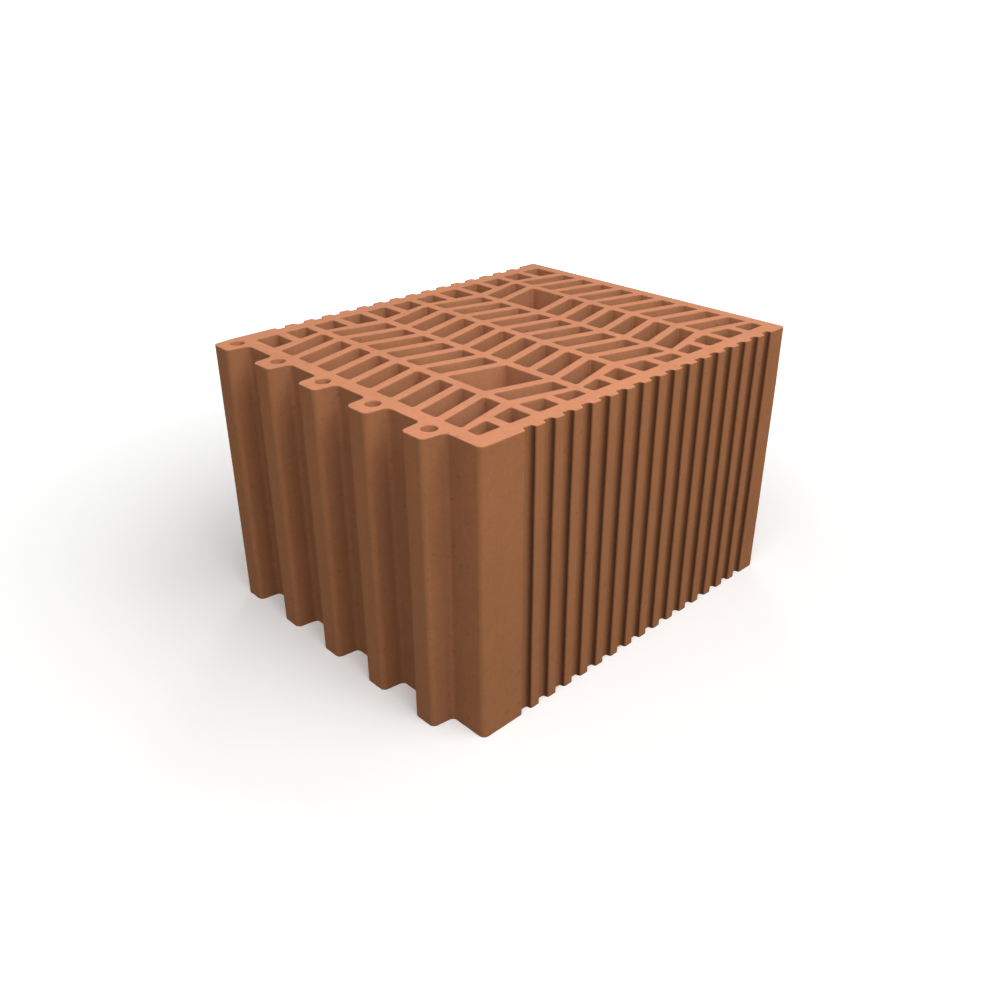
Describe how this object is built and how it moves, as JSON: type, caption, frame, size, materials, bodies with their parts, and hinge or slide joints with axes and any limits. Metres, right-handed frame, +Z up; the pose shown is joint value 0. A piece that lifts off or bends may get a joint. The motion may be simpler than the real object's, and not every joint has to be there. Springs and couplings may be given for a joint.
{
  "type": "hollow clay block",
  "caption": "Vertically perforated fired clay wall block with herringbone slits, finger grips, plaster-grooved side faces and a toothed end for the vertical joint.",
  "frame": {"origin": "middle of the bottom bed face, at the centre of the overall box", "axes": "+X along the length, away from the toothed end; +Y through the wall's thickness, away from the face seen at the right of the picture; +Z up along the slits"},
  "size_m": [0.3, 0.24, 0.19],
  "materials": {
    "fired_clay": "matte, fired and unglazed"
  },
  "bodies": {
    "root": {"clay_block": "fired_clay"}
  },
  "joints": []
}
